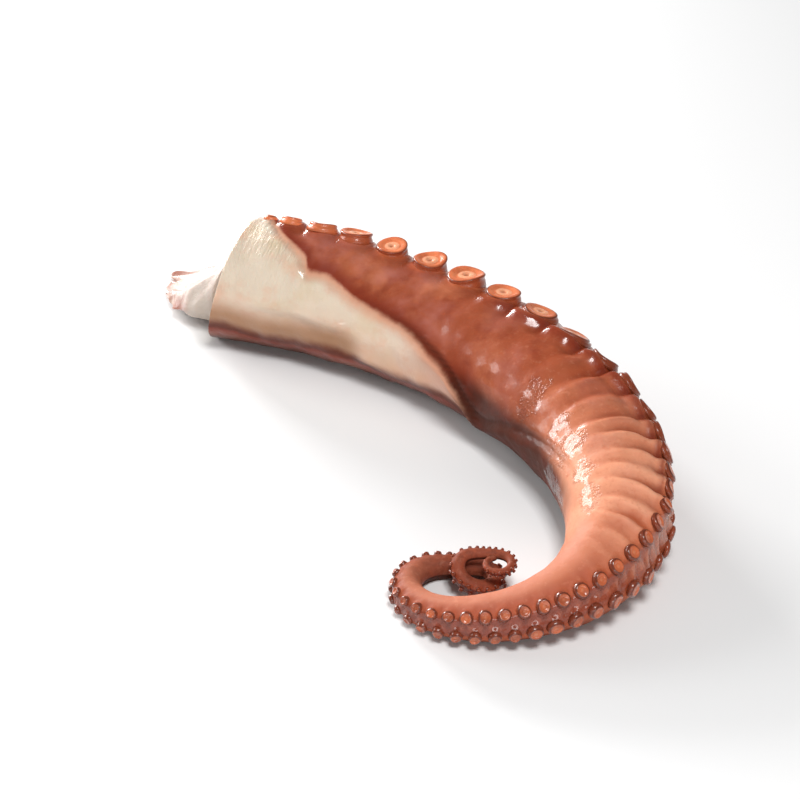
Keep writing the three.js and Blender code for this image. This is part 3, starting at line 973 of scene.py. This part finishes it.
def sucker_finish():
    f = Finish("wet suckers")
    where, s = f.place(), f.mark("along")
    rim, dish, hole = f.mark("rim"), f.mark("dish"), f.mark("hole")
    mottled = f.noise(where, 5, 3, 0.6)
    stalk = f.mix(mottled, BRICK, f.mix(f.step(s, 195, 220), AMBER, RUSSET))
    # painted shade on the stalks from the bend on, over their own dark colour
    stalk = f.mix(f.step(s, 95, 125) * (0.5 - f.step(s, 190, 215) * 0.2), stalk, BARK)
    stalk = f.mix(f.step(s, 40, 8) * 0.8, stalk, CORAL)
    cup = f.mix(f.step(mottled, 0.35, 0.75) * 0.6, CORAL, AMBER)
    cup = f.mix(f.step(hole, 0.1, 0.5) * 0.55, cup, PEACH)
    cup = f.mix(f.step(hole, 0.7, 1) * 0.6, cup, AMBER)
    cup = f.mix(f.step(s, 130, 230) * 0.65, cup, AMBER)
    cup = f.mix(f.step(s, 225, 250) * f.step(mottled, 0.35, 0.6) * 0.5, cup, RUSSET)
    colour = f.mix(dish, stalk, cup)
    # the thin dark line at the rim, partly its own colour and partly painted shade
    edging = f.step(rim, 0.7, 1) * (f.step(s, 80, 130) * 0.25 + 0.7 - f.step(s, 190, 215) * 0.3)
    colour = f.mix(edging, colour, BARK)
    colour = f.mix(f.step(s, 270, 340) * 0.6, colour, RUSSET)
    fine = f.noise(where, 1.6, 3, 0.6)
    return f.surface({
        "Base Color": colour,
        "Roughness": 0.22 + fine * 0.14,
        "Coat Weight": mottled * 0.35 + f.step(s, 195, 220) * 0.6,
        "Normal": f.bump(fine, 0.18),
    }, IOR=1.4, Coat_Roughness=0.1, Coat_IOR=1.36, Subsurface_Weight=0.15, Subsurface_Scale=0.003,
        Subsurface_Radius=(1, 0.4, 0.25))


CUPS = sucker_finish()
print("suckers have", len(CUPS.node_tree.nodes), "nodes")

# %% [markdown]
# All the suckers go into one mesh, because they are one kind of thing with one finish. The seed
# is fixed, so each keeps its own small tilt every time.

# %% Set all the suckers
chance = np.random.default_rng(11)
cups = bmesh.new()
for s, upper in SUCKERS:
    sucker_on(cups, s, upper, chance)
suckers = settle(cups, "suckers", CUPS)

# %% [markdown]
# ## The web flap
# A ragged tongue of the web is left at the cut end. It is thick where it leaves the arm and
# thins out over the table, with small lumps along its edge. It starts from the same straight
# tube, flattened into a tongue, because a closed skin with real thickness looks right from every
# side, which a single sheet wouldn't.

# %% Shape the flap
FLAP_FROM = np.array([SHIFT[0] - 60, SHIFT[1] + 73, 18])
FLAP_TO = np.array([SHIFT[0] - 94, SHIFT[1] + 102, 2.4])
FLAP_HALF = (19, 12)  # half its breadth, from the arm to the end
FLAP_SWELL = 12
FLAP_THICK = (17, 1.5)


def make_flap():
    bm = straight_tube(110, 96)
    straight = read_points(bm)
    t, turn = straight[:, 0] ** 0.9, np.arctan2(straight[:, 2], straight[:, 1])
    side = np.cos(turn)
    end = np.sqrt(np.clip(1 - t ** 6, 0.0, 1))
    half = (FLAP_HALF[0] + (FLAP_HALF[1] - FLAP_HALF[0]) * t * t + FLAP_SWELL * t * (1 - t)) * end
    thick = FLAP_THICK[1] + (FLAP_THICK[0] - FLAP_THICK[1]) * (1 - t) ** 1.7
    thick = thick * np.sqrt(np.maximum(end, 0.02))
    # the middle line, with a slanting jagged end
    way = FLAP_TO - FLAP_FROM
    level = np.array([way[1], -way[0], 0]) / np.hypot(way[0], way[1])
    jagged = 0.05 * lumps(np.stack([side * 17, side * 0], 1), 5, 24) + 0.04 * np.sin(7 * side + 1)
    middle = FLAP_FROM + way * (t * (0.98 + 0.06 * side - 0.08 * side ** 2 + jagged * t))[:, None]
    middle[:, 2] = FLAP_TO[2] + (FLAP_FROM[2] - FLAP_TO[2]) * (1 - t) ** 1.35
    # torn sides, long furrows and lumps along the rim
    torn = 1 + 0.12 * lumps(np.stack([t * 45, side * 9], 1), 6, 21) * t
    points = middle + (half * torn * side)[:, None] * level
    furrow = np.cos(11 * side + 3 * t + 0.8 * lumps(points, 14, 25)) * smooth(t, 0.05, 0.3)
    points[:, 2] += thick * np.sin(turn) * (1 + 0.16 * furrow)
    points[:, 2] += 0.5 * furrow * (1 - t) * smooth(t, 0.1, 0.4)
    rim = np.abs(side) ** 6 * smooth(t, 0.3, 0.6)
    points[:, 2] += (0.5 * lumps(points, 8, 22) + 1.3 * rim * lumps(points, 6, 23)) * smooth(t, 0.1, 0.4)
    write_masks(bm, {"rim": np.maximum(rim, smooth(t, 0.85, 1)), "reach": t})
    ends = [[v for v in bm.verts if v.co.x < 1e-5], [v for v in bm.verts if v.co.x > 1 - 1e-5]]
    write_points(bm, rest_on_table(points))
    for ring in ends:
        bmesh.ops.pointmerge(bm, verts=ring, merge_co=sum((v.co for v in ring), Vector()) / len(ring))
    return bm


print("the flap reaches", round(float(np.linalg.norm(FLAP_TO - FLAP_FROM)), 1), "mm")

# %% [markdown]
# The flap is mostly bared flesh with a pinkish, slightly lilac film of skin over it.

# %% Flap finish
def flap_finish():
    f = Finish("web flap")
    where = f.place()
    film = f.step(f.noise(where, 12, 4, 0.6), 0.42, 0.68)
    colour = f.mix(film * 0.6, tint(186, 172, 160), tint(170, 136, 132))
    colour = f.mix(f.step(f.mark("reach"), 0.55, 0.95) * 0.5, colour, tint(184, 132, 114))
    colour = f.mix(f.mark("rim") * f.step(f.noise(where, 6, 3), 0.35, 0.55) * 0.7, colour, tint(160, 84, 62))
    fine = f.noise(where, 2.6, 4, 0.6, 0.4)
    return f.surface({
        "Base Color": colour,
        "Roughness": 0.42 + fine * 0.15,
        "Coat Weight": 0.3 + film * 0.4,
        "Normal": f.bump(fine, 0.4),
    }, IOR=1.4, Coat_Roughness=0.12, Coat_IOR=1.36, Subsurface_Weight=0.2, Subsurface_Scale=0.004,
        Subsurface_Radius=(1, 0.6, 0.45))


flap = settle(make_flap(), "web_flap", flap_finish())

# %% [markdown]
# ## Floor, light and camera
# A plain pale floor shows food best: it stands for the table and catches the soft shadow. It is
# only stage, so it stays out of the part.

# %% Floor
def make_floor():
    bm = bmesh.new()
    bmesh.ops.create_grid(bm, x_segments=1, y_segments=1, size=3)
    mesh = bpy.data.meshes.new("floor")
    bm.to_mesh(mesh)
    bm.free()
    f = Finish("pale floor")
    mesh.materials.append(f.surface({"Base Color": (0.82, 0.82, 0.82, 1)}, Roughness=0.8))
    floor = bpy.data.objects.new("floor", mesh)
    bpy.context.collection.objects.link(floor)


make_floor()
print("floor laid")

# %% [markdown]
# A strong window-like light stands low behind the arm on the left and a weaker one at the side:
# wet skin shines where it throws such a light towards the camera, so the two are placed to meet
# the films of juice along the bend. A soft box above lights the rest, a long low lamp in front
# opens the shadows between the suckers, and the pale world fills what is left.

# %% Lights
def soft_light(name, place, aim, size, power):
    lamp = bpy.data.lights.new(name, "AREA")
    lamp.shape = "RECTANGLE"
    lamp.size, lamp.size_y = size
    lamp.energy = power
    light = bpy.data.objects.new(name, lamp)
    light.location = place
    light.rotation_euler = (Vector(aim) - Vector(place)).to_track_quat("-Z", "Y").to_euler()
    bpy.context.collection.objects.link(light)


soft_light("window behind", (-0.6, 0.95, 0.36), (0, 0, 0.02), (0.46, 0.28), 17)
soft_light("window at the side", (-0.75, 0.27, 0.4), (0.05, -0.04, 0.03), (0.52, 0.32), 4)
soft_light("soft box above", (0.14, -0.4, 0.92), (0, 0, 0), (0.3, 0.3), 6.8)
soft_light("long lamp in front", (0.1, -1.0, 0.2), (0, 0, 0.02), (1.1, 0.14), 3.6)
world = bpy.data.worlds.new("pale room")
world.use_nodes = True
world.node_tree.nodes["Background"].inputs["Color"].default_value = (1, 1, 1, 1)
world.node_tree.nodes["Background"].inputs["Strength"].default_value = 0.15
bpy.context.scene.world = world
bpy.context.scene.view_settings.view_transform = "Standard"
print("four lamps in a pale room")

# %% [markdown]
# The camera looks down at the middle of the arm, from in front, with a long lens: that keeps the
# near curl from looking larger than it is.

# %% Camera
CAMERA_AIM = Vector((SHIFT[0], SHIFT[1], 13.2)) * MM
CAMERA_BACK = 0.6688
CAMERA_UP = math.radians(35)
view = bpy.data.cameras.new("camera")
view.sensor_width = 36
view.lens = 82.76
view.clip_start = 0.01
camera = bpy.data.objects.new("camera", view)
camera.location = CAMERA_AIM + CAMERA_BACK * Vector((0, -math.cos(CAMERA_UP), math.sin(CAMERA_UP)))
camera.rotation_euler = (math.pi / 2 - CAMERA_UP, 0, 0)
bpy.context.collection.objects.link(camera)
bpy.context.scene.camera = camera
print("camera at", [round(v, 3) for v in camera.location])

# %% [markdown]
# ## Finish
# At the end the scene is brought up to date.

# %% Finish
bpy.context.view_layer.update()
